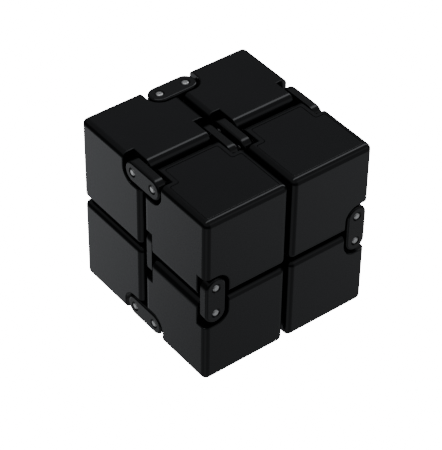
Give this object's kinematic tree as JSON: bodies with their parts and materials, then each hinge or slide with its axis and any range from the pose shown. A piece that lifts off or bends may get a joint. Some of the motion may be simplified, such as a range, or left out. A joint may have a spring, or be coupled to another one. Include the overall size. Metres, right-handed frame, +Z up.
{
  "type": "folding fidget cube",
  "caption": "Palm-sized black plastic fidget cube: hollow cubelets in a closed ring, joined edge to edge by two-pin hinges, that folds and unfolds without end.",
  "frame": {"origin": "middle of the closed cube's underside", "axes": "+Z up; -Y is the front; the back hinges lie on +Y and the side hinges on -X and +X"},
  "size_m": [0.04, 0.04, 0.04],
  "materials": {
    "shell_plastic": "black ABS, satin moulded faces with glossy rounded edges",
    "lid_plastic": "black ABS, satin moulded face",
    "link_plastic": "black nylon, smooth moulded",
    "pin_steel": "bright steel, turned ends"
  },
  "bodies": {
    "back_left_upper": {"shell_back_left_upper": "shell_plastic", "lid_back_left_upper": "lid_plastic"},
    "top_left_link": {"link_top_left_outer": "link_plastic", "link_top_left_inner": "link_plastic", "pin_top_left_front": "pin_steel", "pin_top_left_back": "pin_steel"},
    "front_left_column": {"shell_front_left_upper": "shell_plastic", "lid_front_left_upper": "lid_plastic", "shell_front_left_lower": "shell_plastic", "lid_front_left_lower": "lid_plastic", "link_left_side_outer": "link_plastic", "link_left_side_inner": "link_plastic", "pin_left_side_lower": "pin_steel", "pin_left_side_upper": "pin_steel"},
    "bottom_left_link": {"link_bottom_left_outer": "link_plastic", "link_bottom_left_inner": "link_plastic", "pin_bottom_left_front": "pin_steel", "pin_bottom_left_back": "pin_steel"},
    "back_left_lower": {"shell_back_left_lower": "shell_plastic", "lid_back_left_lower": "lid_plastic"},
    "back_lower_link": {"link_back_lower_outer": "link_plastic", "link_back_lower_inner": "link_plastic", "pin_back_lower_left": "pin_steel", "pin_back_lower_right": "pin_steel"},
    "back_upper_link": {"link_back_upper_outer": "link_plastic", "link_back_upper_inner": "link_plastic", "pin_back_upper_left": "pin_steel", "pin_back_upper_right": "pin_steel"},
    "back_right_upper": {"shell_back_right_upper": "shell_plastic", "lid_back_right_upper": "lid_plastic"},
    "top_right_link": {"link_top_right_outer": "link_plastic", "link_top_right_inner": "link_plastic", "pin_top_right_front": "pin_steel", "pin_top_right_back": "pin_steel"},
    "front_right_column": {"shell_front_right_upper": "shell_plastic", "lid_front_right_upper": "lid_plastic", "shell_front_right_lower": "shell_plastic", "lid_front_right_lower": "lid_plastic", "link_right_side_outer": "link_plastic", "link_right_side_inner": "link_plastic", "pin_right_side_lower": "pin_steel", "pin_right_side_upper": "pin_steel"},
    "bottom_right_link": {"link_bottom_right_outer": "link_plastic", "link_bottom_right_inner": "link_plastic", "pin_bottom_right_front": "pin_steel", "pin_bottom_right_back": "pin_steel"},
    "back_right_lower": {"shell_back_right_lower": "shell_plastic", "lid_back_right_lower": "lid_plastic"}
  },
  "joints": [
    {"name": "top_left_back_pivot", "type": "hinge", "parent": "back_left_upper", "child": "top_left_link", "pos_m": [-0.01022, 0.00315, 0.0373], "axis": [-1, 0, 0], "range_deg": [0, 90]},
    {"name": "top_left_front_pivot", "type": "hinge", "parent": "top_left_link", "child": "front_left_column", "pos_m": [-0.01022, -0.00315, 0.0373], "axis": [-1, 0, 0], "range_deg": [0, 90]},
    {"name": "bottom_left_front_pivot", "type": "hinge", "parent": "front_left_column", "child": "bottom_left_link", "pos_m": [-0.01022, -0.00315, 0.0027], "axis": [-1, 0, 0], "range_deg": [0, 90]},
    {"name": "bottom_left_back_pivot", "type": "hinge", "parent": "bottom_left_link", "child": "back_left_lower", "pos_m": [-0.01022, 0.00315, 0.0027], "axis": [-1, 0, 0], "range_deg": [0, 90]},
    {"name": "back_lower_left_pivot", "type": "hinge", "parent": "back_left_lower", "child": "back_lower_link", "pos_m": [-0.00315, 0.0173, 0.00978], "axis": [0, 0, 1], "range_deg": [0, 90]},
    {"name": "back_upper_left_pivot", "type": "hinge", "parent": "back_left_upper", "child": "back_upper_link", "pos_m": [-0.00315, 0.0173, 0.03022], "axis": [0, 0, 1], "range_deg": [0, 90]},
    {"name": "back_upper_right_pivot", "type": "hinge", "parent": "back_upper_link", "child": "back_right_upper", "pos_m": [0.00315, 0.0173, 0.03022], "axis": [0, 0, 1], "range_deg": [0, 90]},
    {"name": "top_right_back_pivot", "type": "hinge", "parent": "back_right_upper", "child": "top_right_link", "pos_m": [0.01022, 0.00315, 0.0373], "axis": [-1, 0, 0], "range_deg": [0, 90]},
    {"name": "top_right_front_pivot", "type": "hinge", "parent": "top_right_link", "child": "front_right_column", "pos_m": [0.01022, -0.00315, 0.0373], "axis": [-1, 0, 0], "range_deg": [0, 90]},
    {"name": "bottom_right_front_pivot", "type": "hinge", "parent": "front_right_column", "child": "bottom_right_link", "pos_m": [0.01022, -0.00315, 0.0027], "axis": [-1, 0, 0], "range_deg": [0, 90]},
    {"name": "bottom_right_back_pivot", "type": "hinge", "parent": "bottom_right_link", "child": "back_right_lower", "pos_m": [0.01022, 0.00315, 0.0027], "axis": [-1, 0, 0], "range_deg": [0, 90]}
  ],
  "couplings": [
    {"joint": "top_left_back_pivot", "follows": "bottom_right_front_pivot", "ratio": 1},
    {"joint": "top_left_front_pivot", "follows": "bottom_right_front_pivot", "ratio": 1},
    {"joint": "bottom_left_front_pivot", "follows": "bottom_right_front_pivot", "ratio": 1},
    {"joint": "bottom_left_back_pivot", "follows": "bottom_right_front_pivot", "ratio": 1},
    {"joint": "back_upper_left_pivot", "follows": "back_lower_left_pivot", "ratio": 1},
    {"joint": "back_upper_right_pivot", "follows": "back_lower_left_pivot", "ratio": 1},
    {"joint": "top_right_back_pivot", "follows": "bottom_right_front_pivot", "ratio": 1},
    {"joint": "top_right_front_pivot", "follows": "bottom_right_front_pivot", "ratio": 1},
    {"joint": "bottom_right_back_pivot", "follows": "bottom_right_front_pivot", "ratio": 1}
  ]
}
